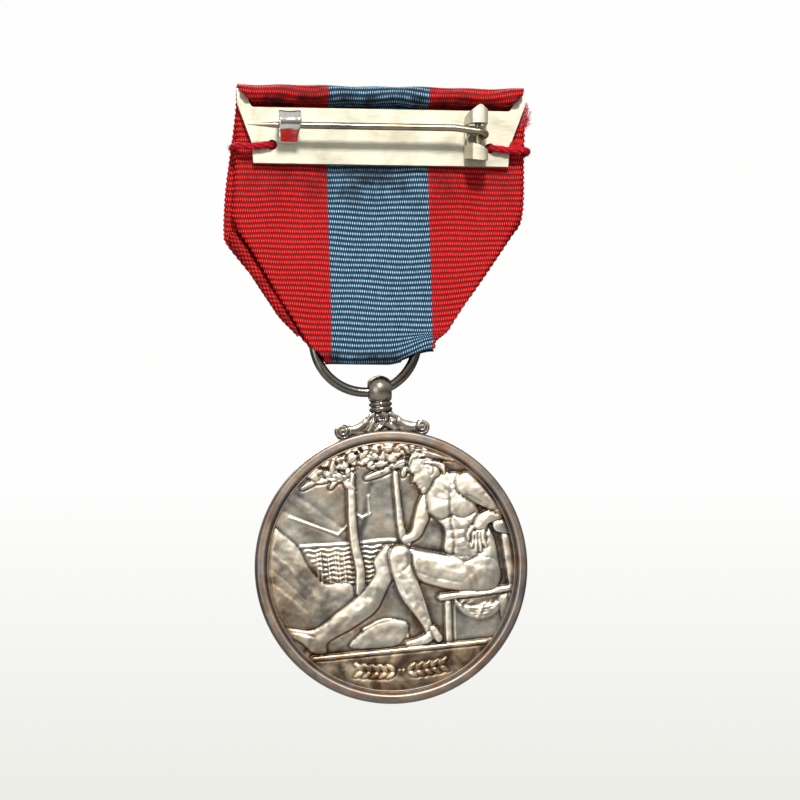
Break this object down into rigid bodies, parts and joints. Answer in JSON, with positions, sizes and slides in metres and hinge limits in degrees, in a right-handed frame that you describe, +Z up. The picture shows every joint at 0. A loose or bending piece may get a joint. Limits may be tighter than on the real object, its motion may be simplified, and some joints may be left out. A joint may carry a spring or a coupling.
{
  "type": "service medal",
  "caption": "Round medal on a ball and scroll suspender, hung by a ring from a striped ribbon that is folded over a pin brooch.",
  "frame": {"origin": "centre of the brooch plate's rear face below its slot, where the brooch bears on the coat", "axes": "+Z up as the medal is worn; +X to the right as the rear is looked at; +Y out of the wearer's chest, so the pin side faces -Y"},
  "size_m": [0.0363, 0.0075, 0.0725],
  "materials": {
    "nickel_plate": "satin",
    "bright_nickel": "polished",
    "pin_wire": "satin",
    "ribbon_silk": "ribbed",
    "stitch_thread": "fuzzy",
    "dark_silver": "oxidised",
    "aged_silver": "aged",
    "medal_silver": "struck, patinated"
  },
  "bodies": {
    "brooch": {"brooch_plate": "nickel_plate", "pin_bracket": "nickel_plate", "hinge_rivet": "pin_wire", "pin_catch": "bright_nickel", "ribbon_top_wrap": "ribbon_silk", "ribbon_rear_upper": "ribbon_silk", "stitch_thread_left": "stitch_thread", "stitch_thread_right": "stitch_thread"},
    "pin": {"brooch_pin": "pin_wire"},
    "ribbon": {"ribbon_rear_lower": "ribbon_silk", "ribbon_front_lower": "ribbon_silk", "ribbon_ring_loop": "ribbon_silk"},
    "ring": {"suspension_ring": "dark_silver"},
    "medal": {"suspender_ball": "aged_silver", "neck_collar": "aged_silver", "scroll_foot": "aged_silver", "foot_dowel": "aged_silver", "medal_disc": "medal_silver"}
  },
  "joints": [
    {"name": "pin_swing", "type": "hinge", "parent": "brooch", "child": "pin", "pos_m": [0.01125, -0.00174, 0.0004], "axis": [0, 0, 1], "range_deg": [0, 90], "deforming": ["brooch_pin"]},
    {"name": "ribbon_bend", "type": "hinge", "parent": "brooch", "child": "ribbon", "pos_m": [0, 0.0019, -0.00435], "axis": [1, 0, 0], "range_deg": [-30, 30]},
    {"name": "ring_turn", "type": "hinge", "parent": "ribbon", "child": "ring", "pos_m": [-0.0017, 0.0019, -0.0239], "axis": [0, 1, 0], "range_deg": [-18, 50]},
    {"name": "medal_swing", "type": "hinge", "parent": "ring", "child": "medal", "pos_m": [-0.00002, 0.0019, -0.02979], "axis": [0.9977, 0, 0.0675], "range_deg": [-90, 90]}
  ]
}
